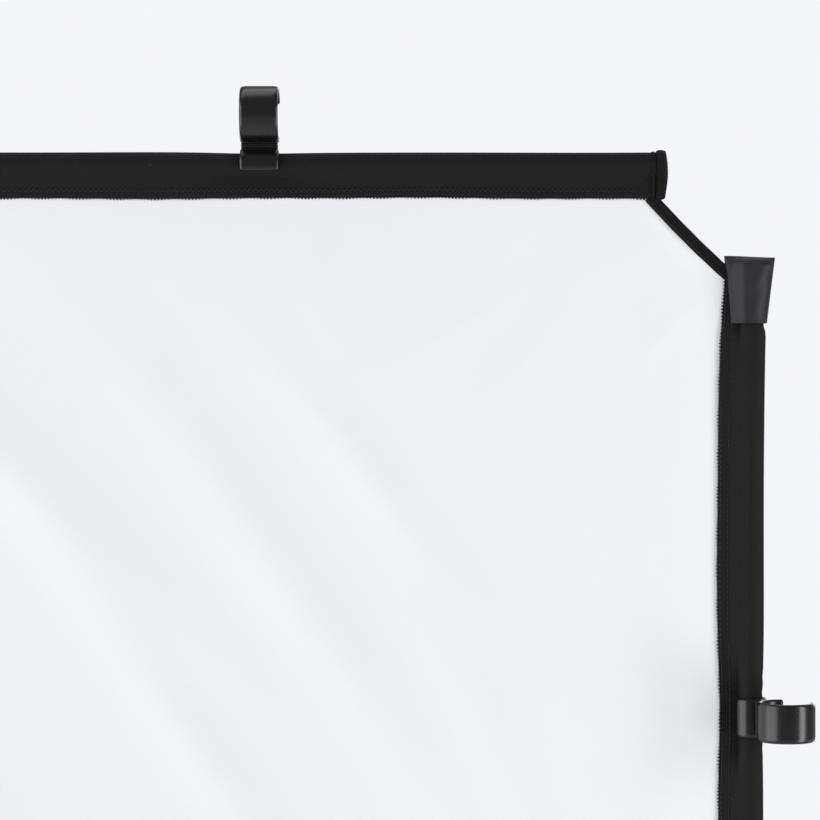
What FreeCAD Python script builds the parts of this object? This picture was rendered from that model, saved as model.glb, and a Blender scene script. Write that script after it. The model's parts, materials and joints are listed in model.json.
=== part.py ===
import FreeCAD, Part
import math
import os

# A flat light-control leaf that hooks beside a lit panel: reversible fabric stretched between
# four poles, each pole in a webbing sleeve, with moulded clips on every edge. Millimetres, +Z up.
# The origin is the axis of the middle hook on the right edge. The white face looks along -Y.

# ---- driving dimensions ----
PANEL_WIDTH = 1000.0
PANEL_HEIGHT = 2150.0

POLE_RADIUS = 5.5
POLE_WALL = 1.0
WEBBING = 1.0
SLEEVE_SLACK = 0.2
SLEEVE_FACE = 25.0
FABRIC = 0.35
FABRIC_IN_SLOT = 10.0

GRIP_INNER = 7.0
GRIP_OUTER = 9.3
HOOK_INNER = 13.0
HOOK_OUTER = 16.0
POLE_TO_HOOK = 27.8
CLIP_WIDTH = 21.4
NECK_HALF_DEPTH = 3.6
NECK_ROOT_ROUND = 0.6
NECK_IN_WALL = 1.0
NECK_OFF_BORE = 0.5
CLIP_EDGE_ROUND = 0.8

GRIP_WRAP_DEG = 110.0
HOOK_FRONT_DEG = 240.0
HOOK_BACK_DEG = 38.0
SIDE_CLIP_SWIVEL_DEG = 54.0

TOP_CLIP_INSET = 279.6
SIDE_CLIP_INSET = 313.4

LEVEL_SLEEVE_INSET = 55.4
END_BINDING_LENGTH = 6.5
UPRIGHT_SLEEVE_INSET = 61.0
POCKET_INSET = 57.7
POCKET_LENGTH = 37.0
POCKET_FLAT_WIDTH = 28.3
POCKET_ROUND_WIDTH = 20.0
POCKET_DEPTH = 16.4
POCKET_SEAM_DEPTH = 3.4
POCKET_SEAM_PROUD = 6.7
POCKET_MOUTH_PROUD = 2.2
POCKET_SHOULDER = 9.0
POCKET_SHOULDER_WIDTH = 26.7
POCKET_SHOULDER_DEPTH = 15.2
POCKET_SHOULDER_PROUD = 5.6
CORNER_CUT = 82.8
CORNER_TAPE_WIDTH = 6.7
CORNER_TAPE = 0.8
CORNER_FOLD_OVERRUN = 1.0

FERRULE_LENGTH = 70.0
FERRULE_WALL = 1.0
PLUG_HEAD = 3.0
PLUG_SPIGOT = 12.0
PLUG_ROUND = 2.0
CORD_RADIUS = 1.5
CORD_SHORT_BY = 0.2
BORE_FIT = 0.04
FLAT = 0.01

# ---- worked-out dimensions ----
SLEEVE_BORE = POLE_RADIUS + SLEEVE_SLACK
SLEEVE_RADIUS = SLEEVE_BORE + WEBBING
WEB_HALF = WEBBING + FABRIC
TUBE_BORE = POLE_RADIUS - POLE_WALL
FERRULE_RADIUS = TUBE_BORE - BORE_FIT

SWIVEL = math.radians(SIDE_CLIP_SWIVEL_DEG)
POLE_AXIS_X = -POLE_TO_HOOK * math.cos(SWIVEL)
PANEL_Y = POLE_TO_HOOK * math.sin(SWIVEL)
HALF_WIDTH = PANEL_WIDTH / 2
HALF_HEIGHT = PANEL_HEIGHT / 2
PANEL_CENTRE = FreeCAD.Vector(POLE_AXIS_X + SLEEVE_RADIUS - HALF_WIDTH, PANEL_Y, 0)

X_AXIS = FreeCAD.Vector(1, 0, 0)
Y_AXIS = FreeCAD.Vector(0, 1, 0)
Z_AXIS = FreeCAD.Vector(0, 0, 1)
ORIGIN = FreeCAD.Vector(0, 0, 0)

# Each edge is the right-hand edge turned about the panel's centre: its turn about +Y, the
# distance from the centre to its outer side, and the number of pole sections.
EDGES = {
    "right": (0, HALF_WIDTH, 4),
    "left": (180, HALF_WIDTH, 4),
    "top": (-90, HALF_HEIGHT, 2),
    "bottom": (90, HALF_HEIGHT, 2),
}
# Half the run of each edge, from the panel's centre to its end corner.
EDGE_RUN = {"right": HALF_HEIGHT, "left": HALF_HEIGHT, "top": HALF_WIDTH, "bottom": HALF_WIDTH}


# ---- helpers ----
def save(shape, node):
    """Write one node, after its solid is placed in the object's frame."""
    shape.exportStep("parts/" + node + ".step")


def on_edge(shape, edge):
    """Carry a piece from its pole-axis frame (+X outward, +Z along the pole) to an edge."""
    turn, reach, _ = EDGES[edge]
    placed = shape.copy()
    placed.translate(FreeCAD.Vector(reach - SLEEVE_RADIUS, 0, 0))
    placed.rotate(ORIGIN, Y_AXIS, turn)
    placed.translate(PANEL_CENTRE)
    return placed


def upright_cylinder(radius, length, low=0.0):
    return Part.makeCylinder(radius, length, FreeCAD.Vector(0, 0, low))


# ---- sleeves: webbing wrapped round the pole and sewn to the fabric's edge ----
def straight(start, end):
    return Part.LineSegment(FreeCAD.Vector(*start, 0), FreeCAD.Vector(*end, 0)).toShape()


def bead_arc(radius, half_depth):
    """The arc round the pole between the web's two sides, and where it leaves them."""
    leaves = -math.sqrt(radius * radius - half_depth * half_depth)
    ends = [FreeCAD.Vector(leaves, depth, 0) for depth in (half_depth, -half_depth)]
    return Part.Arc(ends[0], FreeCAD.Vector(radius, 0, 0), ends[1]).toShape(), leaves


def section_along(edges, length):
    """A closed section carried along the pole, centred on its length."""
    solid = Part.Face(Part.Wire(edges)).extrude(FreeCAD.Vector(0, 0, length))
    solid.translate(FreeCAD.Vector(0, 0, -length / 2))
    return solid


def keyhole(radius, web_half, web_reach, length):
    """The sleeve's outer form: a round bead for the pole with a flat web towards the panel."""
    bead, leaves = bead_arc(radius, web_half)
    edges = [
        bead,
        straight((leaves, -web_half), (-web_reach, -web_half)),
        straight((-web_reach, -web_half), (-web_reach, web_half)),
        straight((-web_reach, web_half), (leaves, web_half)),
    ]
    return section_along(edges, length)


def sleeve(length):
    """One webbing section: round the pole, with two flat layers that hold the fabric's edge."""
    reach = SLEEVE_FACE - SLEEVE_RADIUS
    bead, leaves = bead_arc(SLEEVE_RADIUS, WEB_HALF)
    bore, slot_end = bead_arc(SLEEVE_BORE, FABRIC)
    edges = [
        bead,
        straight((leaves, -WEB_HALF), (-reach, -WEB_HALF)),
        straight((-reach, -WEB_HALF), (-reach, -FABRIC)),
        straight((-reach, -FABRIC), (slot_end, -FABRIC)),
        bore,
        straight((slot_end, FABRIC), (-reach, FABRIC)),
        straight((-reach, FABRIC), (-reach, WEB_HALF)),
        straight((-reach, WEB_HALF), (leaves, WEB_HALF)),
    ]
    return section_along(edges, length)


def end_binding(end):
    """A webbing cap turned over the sleeve's end, open towards the sleeve and the fabric."""
    reach = SLEEVE_FACE - SLEEVE_RADIUS
    depth = END_BINDING_LENGTH + WEBBING
    outer = keyhole(SLEEVE_RADIUS + WEBBING, WEB_HALF + WEBBING, reach + WEBBING, depth)
    inner = keyhole(SLEEVE_RADIUS, WEB_HALF, reach + 2 * WEBBING, depth)
    inner.translate(FreeCAD.Vector(0, 0, -WEBBING))
    cap = outer.cut(inner)
    cap.translate(FreeCAD.Vector(0, 0, depth / 2 - END_BINDING_LENGTH))
    cap.translate(FreeCAD.Vector(0, 0, end))
    return cap


# ---- vinyl pockets that hold the ends of the upright poles ----
def oval_wire(width, depth, x_mid, z):
    """An oval across the pole, as a closed wire."""
    ellipse = Part.Ellipse(FreeCAD.Vector(x_mid, 0, z), width / 2, depth / 2)
    return Part.Wire([ellipse.toShape()])


def pole_pocket(end):
    """A tube of one girth: flat at its sewn end, oval where the pole fills it."""
    sections = []
    for drop, width, depth, proud in (
        (0.0, POCKET_FLAT_WIDTH, POCKET_SEAM_DEPTH, POCKET_SEAM_PROUD),
        (POCKET_SHOULDER, POCKET_SHOULDER_WIDTH, POCKET_SHOULDER_DEPTH, POCKET_SHOULDER_PROUD),
        (POCKET_LENGTH, POCKET_ROUND_WIDTH, POCKET_DEPTH, POCKET_MOUTH_PROUD),
    ):
        x_mid = SLEEVE_RADIUS + proud - width / 2
        sections.append(oval_wire(width, depth, x_mid, end - drop))
    pouch = Part.makeLoft(sections, True, True)
    inside = keyhole(SLEEVE_RADIUS, WEB_HALF, SLEEVE_FACE, 4 * POCKET_LENGTH)
    tip = UPRIGHT_SLEEVE_INSET - POCKET_INSET
    inside.translate(FreeCAD.Vector(0, 0, end - tip - 2 * POCKET_LENGTH))
    return pouch.cut(inside)


# ---- corner tapes: webbing folded over the fabric's diagonal cut ----
def corner_prism(inner_sum, outer_sum, half_depth):
    """The strip of the top right corner between two diagonals, clear of both sleeves."""
    points = []
    for total in (inner_sum, outer_sum):
        along = [
            FreeCAD.Vector(HALF_WIDTH - (total - SLEEVE_FACE), -half_depth, HALF_HEIGHT - SLEEVE_FACE),
            FreeCAD.Vector(HALF_WIDTH - SLEEVE_FACE, -half_depth, HALF_HEIGHT - (total - SLEEVE_FACE)),
        ]
        points.extend(along if total == inner_sum else along[::-1])
    outline = Part.makePolygon(points + points[:1])
    return Part.Face(outline).extrude(FreeCAD.Vector(0, 2 * half_depth, 0))


def corner_tape():
    inner_sum = CORNER_CUT + CORNER_TAPE_WIDTH * math.sqrt(2)
    tape = corner_prism(inner_sum, CORNER_CUT - CORNER_TAPE * math.sqrt(2), FABRIC + CORNER_TAPE)
    return tape.cut(corner_prism(inner_sum + CORNER_FOLD_OVERRUN, CORNER_CUT, FABRIC))


def on_corner(shape, side_x, side_z):
    """Carry a top right corner piece to the corner on the given sides (+1 or -1)."""
    placed = shape.copy()
    if side_x < 0:
        placed = placed.mirror(ORIGIN, X_AXIS)
    if side_z < 0:
        placed = placed.mirror(ORIGIN, Z_AXIS)
    placed.translate(PANEL_CENTRE)
    return placed


# ---- fabric: two layers, white in front and black behind, sewn into the sleeves' slots ----
def fabric_layer(front):
    tuck = SLEEVE_FACE - FABRIC_IN_SLOT
    x_side = HALF_WIDTH - tuck
    z_side = HALF_HEIGHT - tuck
    cut = CORNER_CUT - tuck
    corners = []
    for side_x, side_z in ((1, 1), (-1, 1), (-1, -1), (1, -1)):
        along_top = (side_x * (HALF_WIDTH - cut), side_z * z_side)
        along_side = (side_x * x_side, side_z * (HALF_HEIGHT - cut))
        corners.extend([along_side, along_top] if side_x == side_z else [along_top, along_side])
    points = [FreeCAD.Vector(x, front, z) for x, z in corners]
    layer = Part.Face(Part.makePolygon(points + points[:1])).extrude(FreeCAD.Vector(0, FABRIC, 0))
    layer.translate(PANEL_CENTRE)
    return layer


# ---- poles: tube sections, ferrules, end plugs and the elastic cord that strings them ----
def pole_length(edge):
    closed_end = LEVEL_SLEEVE_INSET + WEBBING if edge in ("top", "bottom") else UPRIGHT_SLEEVE_INSET
    return 2 * (EDGE_RUN[edge] - closed_end - BORE_FIT)


def pole_sections(edge):
    count = EDGES[edge][2]
    run = pole_length(edge) - 2 * PLUG_HEAD
    step = run / count
    tubes = []
    for number in range(count):
        low = -run / 2 + number * step
        tube = upright_cylinder(POLE_RADIUS, step, low)
        tubes.append(tube.cut(upright_cylinder(TUBE_BORE, step, low)))
    return Part.makeCompound(tubes)


def pole_ferrules(edge):
    count = EDGES[edge][2]
    run = pole_length(edge) - 2 * PLUG_HEAD
    ferrules = []
    for number in range(1, count):
        low = -run / 2 + number * run / count - FERRULE_LENGTH / 2
        ferrule = upright_cylinder(FERRULE_RADIUS, FERRULE_LENGTH, low)
        bore = upright_cylinder(FERRULE_RADIUS - FERRULE_WALL, FERRULE_LENGTH, low)
        ferrules.append(ferrule.cut(bore))
    return Part.makeCompound(ferrules)


def pole_end_plugs(edge):
    end = pole_length(edge) / 2
    head = upright_cylinder(POLE_RADIUS, PLUG_HEAD, end - PLUG_HEAD)
    rim = [side for side in head.Edges if side.BoundBox.ZMin > end - FLAT]
    head = head.makeFillet(PLUG_ROUND, rim)
    spigot = upright_cylinder(FERRULE_RADIUS, PLUG_SPIGOT, end - PLUG_HEAD - PLUG_SPIGOT)
    hole = upright_cylinder(CORD_RADIUS + BORE_FIT, PLUG_SPIGOT, end - PLUG_HEAD - PLUG_SPIGOT)
    plug = head.fuse(spigot).cut(hole)
    return Part.makeCompound([plug, plug.mirror(ORIGIN, Z_AXIS)])


def pole_shock_cord(edge):
    length = pole_length(edge) - 2 * PLUG_HEAD - CORD_SHORT_BY
    return upright_cylinder(CORD_RADIUS, length, -length / 2)


# ---- clips: one moulding with a grip for the sleeve and a hook for the light's tube ----
def ring_sector(inner, outer, x_mid, start_deg, end_deg):
    """Part of a flat ring about the pole's line, with its two ends rounded off."""
    middle = (inner + outer) / 2
    half_wall = (outer - inner) / 2
    trim = math.degrees(half_wall / middle)
    start = math.radians(start_deg + trim)
    end = math.radians(end_deg - trim)
    half_way = (start + end) / 2

    def spot(radius, angle):
        return FreeCAD.Vector(x_mid + radius * math.cos(angle), radius * math.sin(angle), 0)

    def tip(angle, lean):
        return spot(middle, angle + lean * half_wall / middle)

    edges = [
        Part.Arc(spot(outer, start), spot(outer, half_way), spot(outer, end)).toShape(),
        Part.Arc(spot(outer, end), tip(end, 1), spot(inner, end)).toShape(),
        Part.Arc(spot(inner, end), spot(inner, half_way), spot(inner, start)).toShape(),
        Part.Arc(spot(inner, start), tip(start, -1), spot(outer, start)).toShape(),
    ]
    return Part.Face(Part.Wire(edges)).extrude(FreeCAD.Vector(0, 0, CLIP_WIDTH))


def is_neck_corner(edge):
    """Whether an edge runs the clip's whole width where the neck meets a ring."""
    box = edge.BoundBox
    at_neck = abs(abs(box.Center.y) - NECK_HALF_DEPTH) < FLAT
    return at_neck and box.ZLength > CLIP_WIDTH - FLAT


def clip():
    """The clip with its pole on the Z axis and its hook straight out along +X."""
    hook = ring_sector(
        HOOK_INNER, HOOK_OUTER, POLE_TO_HOOK, 180 - HOOK_BACK_DEG, 180 + HOOK_FRONT_DEG
    )
    grip = ring_sector(GRIP_INNER, GRIP_OUTER, 0, -GRIP_WRAP_DEG, GRIP_WRAP_DEG)
    neck_low = GRIP_INNER + NECK_IN_WALL
    neck_high = POLE_TO_HOOK - HOOK_INNER - NECK_IN_WALL
    neck_corner = FreeCAD.Vector(neck_low, -NECK_HALF_DEPTH, 0)
    neck = Part.makeBox(neck_high - neck_low, 2 * NECK_HALF_DEPTH, CLIP_WIDTH, neck_corner)
    neck = neck.cut(upright_cylinder(GRIP_INNER + NECK_OFF_BORE, CLIP_WIDTH))
    body = hook.fuse([grip, neck]).removeSplitter()
    seams = [edge for edge in body.Edges if is_neck_corner(edge)]
    body = body.makeFillet(NECK_ROOT_ROUND, seams)
    rims = [edge for edge in body.Edges if edge.BoundBox.ZLength < FLAT]
    body = body.makeFillet(CLIP_EDGE_ROUND, rims)
    body.translate(FreeCAD.Vector(0, 0, -CLIP_WIDTH / 2))
    return body


def clip_spots(edge):
    """The distances of an edge's clips from the edge's middle, along the pole."""
    if edge in ("top", "bottom"):
        spot = EDGE_RUN[edge] - TOP_CLIP_INSET
        return {"left": -spot, "right": spot}
    spot = EDGE_RUN[edge] - SIDE_CLIP_INSET
    return {"lower": -spot, "middle": 0.0, "upper": spot}


def clip_on_edge(blank, edge, spot):
    """Swivel a clip about its pole, then slide it to its place on the edge."""
    # A negative turn about the pole brings the hook forward, on both upright edges alike,
    # because the edges differ by a turn about the depth axis.
    swivelled = blank.copy()
    if edge in ("right", "left"):
        swivelled.rotate(ORIGIN, Z_AXIS, -SIDE_CLIP_SWIVEL_DEG)
    # The pole frame's +Z runs to world +Z, -Z, -X and +X on the four edges.
    along = {"right": spot, "left": -spot, "top": -spot, "bottom": spot}[edge]
    swivelled.translate(FreeCAD.Vector(0, 0, along))
    return on_edge(swivelled, edge)


# ---- build and write every node ----
os.makedirs("parts", exist_ok=True)

save(fabric_layer(-FABRIC), "white_face_fabric")
save(fabric_layer(0.0), "black_backing_fabric")

for edge in EDGES:
    level = edge in ("top", "bottom")
    sleeve_inset = LEVEL_SLEEVE_INSET if level else UPRIGHT_SLEEVE_INSET
    sleeve_half = EDGE_RUN[edge] - sleeve_inset
    save(on_edge(sleeve(2 * sleeve_half), edge), edge + "_sleeve")
    save(on_edge(pole_sections(edge), edge), edge + "_pole_tubes")
    save(on_edge(pole_ferrules(edge), edge), edge + "_pole_ferrules")
    save(on_edge(pole_end_plugs(edge), edge), edge + "_pole_end_plugs")
    save(on_edge(pole_shock_cord(edge), edge), edge + "_pole_shock_cord")

blank_clip = clip()
for edge in EDGES:
    for place, spot in clip_spots(edge).items():
        save(clip_on_edge(blank_clip, edge, spot), edge + "_" + place + "_clip")

top_end = HALF_WIDTH - LEVEL_SLEEVE_INSET
side_end = HALF_HEIGHT - POCKET_INSET
corner_piece = corner_tape()
right_cap = end_binding(top_end)
pocket_piece = pole_pocket(side_end)
for side_z, level_edge in ((1, "top"), (-1, "bottom")):
    for side_x, upright_edge in ((1, "right"), (-1, "left")):
        corner = level_edge + "_" + upright_edge
        save(on_corner(corner_piece, side_x, side_z), corner + "_corner_tape")
        # The pole frame's +Z runs to world -X on the top edge and +X on the bottom edge.
        cap = right_cap if side_x * side_z < 0 else right_cap.mirror(ORIGIN, Z_AXIS)
        save(on_edge(cap, level_edge), corner + "_sleeve_end_binding")
        upward = side_z if upright_edge == "right" else -side_z
        pocket = pocket_piece if upward > 0 else pocket_piece.mirror(ORIGIN, Z_AXIS)
        save(on_edge(pocket, upright_edge), corner + "_pole_pocket")
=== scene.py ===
# %% [markdown]
# # A fabric light-control leaf
#
# The object is a flat leaf that hangs beside a fabric-front light. White cloth is stretched over
# four poles, each pole runs in a sleeve of black webbing, and glossy moulded clips hook the leaf
# to the light's tube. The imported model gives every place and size, and this script dresses it.

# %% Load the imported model
import json
import math

import bmesh
import bpy
import numpy as np
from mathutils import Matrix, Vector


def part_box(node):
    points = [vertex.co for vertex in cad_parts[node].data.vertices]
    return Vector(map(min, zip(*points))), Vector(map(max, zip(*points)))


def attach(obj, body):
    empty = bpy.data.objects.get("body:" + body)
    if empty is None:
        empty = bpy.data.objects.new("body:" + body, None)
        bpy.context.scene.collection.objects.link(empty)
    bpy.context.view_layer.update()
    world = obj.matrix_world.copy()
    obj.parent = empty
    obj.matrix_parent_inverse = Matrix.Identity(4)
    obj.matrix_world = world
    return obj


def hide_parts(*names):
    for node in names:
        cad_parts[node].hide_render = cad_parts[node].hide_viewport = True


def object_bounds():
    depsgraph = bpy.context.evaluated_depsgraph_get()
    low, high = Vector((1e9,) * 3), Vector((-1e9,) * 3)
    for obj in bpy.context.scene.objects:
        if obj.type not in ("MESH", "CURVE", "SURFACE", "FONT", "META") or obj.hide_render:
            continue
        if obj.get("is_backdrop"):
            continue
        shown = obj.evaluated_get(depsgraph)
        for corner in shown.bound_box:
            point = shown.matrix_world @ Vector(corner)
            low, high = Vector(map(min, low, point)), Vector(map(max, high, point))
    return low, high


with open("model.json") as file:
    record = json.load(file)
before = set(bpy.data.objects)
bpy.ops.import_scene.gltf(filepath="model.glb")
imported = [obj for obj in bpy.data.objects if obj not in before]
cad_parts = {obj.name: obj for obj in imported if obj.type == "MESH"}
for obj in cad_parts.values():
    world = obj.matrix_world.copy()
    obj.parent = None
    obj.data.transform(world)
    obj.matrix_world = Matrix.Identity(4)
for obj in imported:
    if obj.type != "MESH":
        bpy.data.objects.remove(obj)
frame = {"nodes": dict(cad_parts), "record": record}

cad_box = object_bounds()
MM = 0.001

# %% [markdown]
# Lengths come from the model. The sleeve's box gives its face width, and its depth is the round
# bead's diameter, so the pole's axis lies one bead radius in from the outer side. Each edge gets a
# small frame of its own: outward, depth and along. A piece is then worked out once, for any edge.

# %% Edge frames
low_right, high_right = (np.array(p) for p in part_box("right_sleeve"))
low_left, high_left = (np.array(p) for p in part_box("left_sleeve"))
low_top, high_top = (np.array(p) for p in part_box("top_sleeve"))
low_bottom, high_bottom = (np.array(p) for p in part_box("bottom_sleeve"))

BEAD = (high_right[1] - low_right[1]) / 2
FACE = high_right[0] - low_right[0]
PANEL_Y = (high_right[1] + low_right[1]) / 2
LEFT, RIGHT = low_left[0], high_right[0]
FOOT, HEAD = low_bottom[2], high_top[2]
MID_X, MID_Z = (LEFT + RIGHT) / 2, (FOOT + HEAD) / 2
WEB_HALF = 1.35 * MM  # half the two flat layers' thickness
REACH = FACE - BEAD  # from the pole's axis to the sleeve's inner edge

TALL_RIGHT, TALL_LEFT = high_right[2] - low_right[2], high_left[2] - low_left[2]
WIDE_TOP, WIDE_BOTTOM = high_top[0] - low_top[0], high_bottom[0] - low_bottom[0]

# Each edge: its pole's middle, the outward axis, the axis along the pole, and the sleeve's length.
EDGES = {
    "right": ((RIGHT - BEAD, PANEL_Y, MID_Z), (1, 0, 0), (0, 0, 1), TALL_RIGHT),
    "left": ((LEFT + BEAD, PANEL_Y, MID_Z), (-1, 0, 0), (0, 0, -1), TALL_LEFT),
    "top": ((MID_X, PANEL_Y, HEAD - BEAD), (0, 0, 1), (-1, 0, 0), WIDE_TOP),
    "bottom": ((MID_X, PANEL_Y, FOOT + BEAD), (0, 0, -1), (1, 0, 0), WIDE_BOTTOM),
}
print("leaf, mm:", round((RIGHT - LEFT) / MM, 1), "by", round((HEAD - FOOT) / MM, 1))


def edge_point(edge, out, depth, along):
    """Carry pole-frame coordinates to the object's frame: origin plus each axis by its share."""
    origin, outward, run, _ = EDGES[edge]
    origin, outward, run = (np.array(v, float) for v in (origin, outward, run))
    out, depth, along = np.broadcast_arrays(out, depth, along)
    spots = origin + out[..., None] * outward + along[..., None] * run
    return spots + depth[..., None] * np.array((0.0, 1.0, 0.0))


# %% [markdown]
# The camera stands square to the leaf and close to its top right corner, as a person does who
# looks at how the cloth, the sleeves and the clips meet. A pale floor lies under the leaf.

# %% Camera and floor
CAMERA_IN, CAMERA_DOWN, CAMERA_BACK = 196.1 * MM, 142.8 * MM, 1500 * MM
VIEW_WIDTH = 455.6 * MM

camera_data = bpy.data.cameras.new("camera")
camera_data.sensor_width = 36.0
camera_data.lens = camera_data.sensor_width * CAMERA_BACK / VIEW_WIDTH
camera_data.clip_start, camera_data.clip_end = 0.01, 60.0
camera = bpy.data.objects.new("camera", camera_data)
camera.location = (RIGHT - CAMERA_IN, PANEL_Y - CAMERA_BACK, HEAD - CAMERA_DOWN)
camera.rotation_euler = (math.radians(90), 0, 0)
bpy.context.scene.collection.objects.link(camera)
bpy.context.scene.camera = camera

# %% [markdown]
# ## Shader maths as expressions
#
# A material is a graph of nodes, and its maths reads best as a formula. Value wraps one socket, so
# that a sum or a product of two wrapped sockets adds the Math node for it.


# %% The expression class
class Value:
    """One socket of a node tree, with arithmetic that adds Math nodes."""

    def __init__(self, tree, socket):
        self.tree, self.socket = tree, socket

    def maths(self, operation, *others, clamp=False):
        node = self.tree.nodes.new("ShaderNodeMath")
        node.operation, node.use_clamp = operation, clamp
        for place, item in enumerate((self, *others)):
            feed(self.tree, node.inputs[place], item)
        return Value(self.tree, node.outputs[0])

    def __add__(self, other):
        return self.maths("ADD", other)

    def __sub__(self, other):
        return self.maths("SUBTRACT", other)

    def __mul__(self, other):
        return self.maths("MULTIPLY", other)

    def __truediv__(self, other):
        return self.maths("DIVIDE", other)

    def clamp(self):
        return self.maths("ADD", 0.0, clamp=True)

    def sine(self):
        return self.maths("SINE")

    def step_up(self, start, end):
        """0 before start, 1 after end, straight between."""
        return ((self - start) / (end - start)).clamp()

    def mix(self, colour_a, colour_b):
        """The colour between two, by this value as the share of the second."""
        node = self.tree.nodes.new("ShaderNodeMix")
        node.data_type = "RGBA"
        feed(self.tree, node.inputs[0], self)
        feed(self.tree, node.inputs[6], colour_a)
        feed(self.tree, node.inputs[7], colour_b)
        return Value(self.tree, node.outputs[2])


def feed(tree, socket, item):
    """Set a socket from a wrapped socket, a colour of three numbers, or a number."""
    if isinstance(item, Value):
        tree.links.new(item.socket, socket)
    elif isinstance(item, tuple) and socket.type == "RGBA":
        socket.default_value = (*item[:3], 1.0)
    else:
        socket.default_value = item


def add_node(tree, kind, settings=None, out=0, **inputs):
    """Any node by its type: its settings first, then its sockets by name."""
    node = tree.nodes.new(kind)
    for key, value in (settings or {}).items():
        setattr(node, key, value)
    for key, item in inputs.items():
        feed(tree, node.inputs[key.replace("_", " ")], item)
    return Value(tree, node.outputs[out])


def scaled(tree, vector, factors):
    """A coordinate stretched by a factor on each axis."""
    return add_node(tree, "ShaderNodeMapping", Vector=vector, Scale=factors)


def noise(tree, vector, scale, detail=2.0, rough=0.5):
    return add_node(
        tree, "ShaderNodeTexNoise", Vector=vector, Scale=scale, Detail=detail, Roughness=rough
    )


def new_material(name, steady):
    """An empty material with one Principled shader; steady holds its even settings."""
    made = bpy.data.materials.new(name)
    made.use_nodes = True
    shader = made.node_tree.nodes["Principled BSDF"]
    for key, value in steady.items():
        feed(made.node_tree, shader.inputs[key], value)
    return made, made.node_tree, shader


def finish_material(tree, shader, height=None, bump=(1.0, 0.0002), **channels):
    """Join the varying channels, and the height through one Bump node."""
    for key, item in channels.items():
        feed(tree, shader.inputs[key.replace("_", " ")], item)
    if height is not None:
        bumped = add_node(
            tree, "ShaderNodeBump", Height=height, Strength=bump[0], Distance=bump[1]
        )
        tree.links.new(bumped.socket, shader.inputs["Normal"])


# %% [markdown]
# ## Surfaces from arrays
#
# Every new piece is a grid of points. Rows run along the piece and columns run round it. A closed
# section wraps its last column to its first, and its two ends get one face each, so the shell is
# shut. Recalculated normals then face outwards. The UV map is in millimetres along the surface.


# %% Mesh builders
def grid_quads(rows, columns, wrap):
    """Four corners of each cell: this row and the next, this column and the next."""
    row, column = np.meshgrid(np.arange(rows - 1), np.arange(columns if wrap else columns - 1))
    row, column = row.T.ravel(), column.T.ravel()
    after = (column + 1) % columns
    quads = np.stack(
        [row * columns + column, row * columns + after,
         (row + 1) * columns + after, (row + 1) * columns + column], axis=1,
    )
    return quads, row, column


def put_mesh(name, points, faces, uv=None, shut=True, smooth_deg=None):
    """A mesh object at the origin; uv has one pair per face corner, in order."""
    mesh = bpy.data.meshes.new(name)
    mesh.from_pydata(points.reshape(-1, 3), [], faces)
    if uv is not None:
        layer = mesh.uv_layers.new(name="UVMap")
        layer.data.foreach_set("uv", np.asarray(uv, np.float32).ravel())
    mesh.polygons.foreach_set("use_smooth", np.ones(len(mesh.polygons), bool))
    if shut:
        shell = bmesh.new()
        shell.from_mesh(mesh)
        bmesh.ops.recalc_face_normals(shell, faces=shell.faces)
        shell.to_mesh(mesh)
        shell.free()
    if smooth_deg is not None:
        mesh.set_sharp_from_angle(angle=math.radians(smooth_deg))
    mesh.update()
    piece = bpy.data.objects.new(name, mesh)
    bpy.context.scene.collection.objects.link(piece)
    return piece


def tube_surface(name, points, lengths=None, smooth_deg=None):
    """A closed section carried along a path: points is rows by columns by 3."""
    rows, columns = points.shape[:2]
    quads, row, column = grid_quads(rows, columns, True)
    ends = [list(range(columns))[::-1], list(range((rows - 1) * columns, rows * columns))]
    uv = None
    if lengths is not None:
        along, around = lengths
        corner_row = np.stack([row, row, row + 1, row + 1], axis=1)
        corner_column = np.stack([column, column + 1, column + 1, column], axis=1)
        uv = np.stack([around[corner_column], along[corner_row]], axis=-1).reshape(-1, 2)
        uv = np.concatenate([uv, np.zeros((2 * columns, 2))])
    return put_mesh(name, points, quads.tolist() + ends, uv, smooth_deg=smooth_deg)


def many_tubes(name, points):
    """Many small closed tubes at once: points is count by rows by columns by 3."""
    count, rows, columns = points.shape[:3]
    quads, _, _ = grid_quads(rows, columns, True)
    step = rows * columns
    offsets = np.arange(count)[:, None] * step
    sides = (quads[None] + offsets[:, :, None]).reshape(-1, 4)
    first = offsets + np.arange(columns)[::-1]
    last = offsets + np.arange(step - columns, step)
    faces = sides.tolist() + first.tolist() + last.tolist()
    return put_mesh(name, points, faces)


def dress(piece, body, material, *nodes, slot=None):
    """Give a piece its material and its body, and hide the solids it stands for."""
    piece.data.materials.append(material)
    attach(piece, body)
    if nodes:
        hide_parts(*nodes)
    return piece

# %% [markdown]
# ## Finishes
#
# The white cloth is a coated plain weave: nearly smooth, with a soft sheen and fine threads. The
# black parts are a ribbed webbing, a flat tape, grained vinyl and polished plastic, and they
# differ by gloss more than by colour, so each gets its own roughness and its own small relief.


# %% Cloth finishes
def woven(name, colours, rough, thread, steady, relief=0.00006):
    """Plain weave: two crossed sine waves for the threads, with cloudy noise for dye and wear."""
    made, tree, shader = new_material(name, steady)
    place = add_node(tree, "ShaderNodeTexCoord", out=3)
    parts = [add_node(tree, "ShaderNodeSeparateXYZ", out=k, Vector=place) for k in range(3)]
    turn = 2 * math.pi / thread
    threads = (parts[0] * turn).sine() * (parts[2] * turn).sine() * 0.5 + 0.5
    clouds = noise(tree, place, 7.0, 4.0)
    fibres = noise(tree, place, 900.0, 2.0)
    shade = (clouds * 0.55 + threads * 0.2 + fibres * 0.25).clamp()
    finish_material(
        tree, shader, threads + fibres * 0.5, (0.45, relief),
        Base_Color=shade.mix(*colours), Roughness=clouds * 0.12 + rough,
    )
    return made


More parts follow.
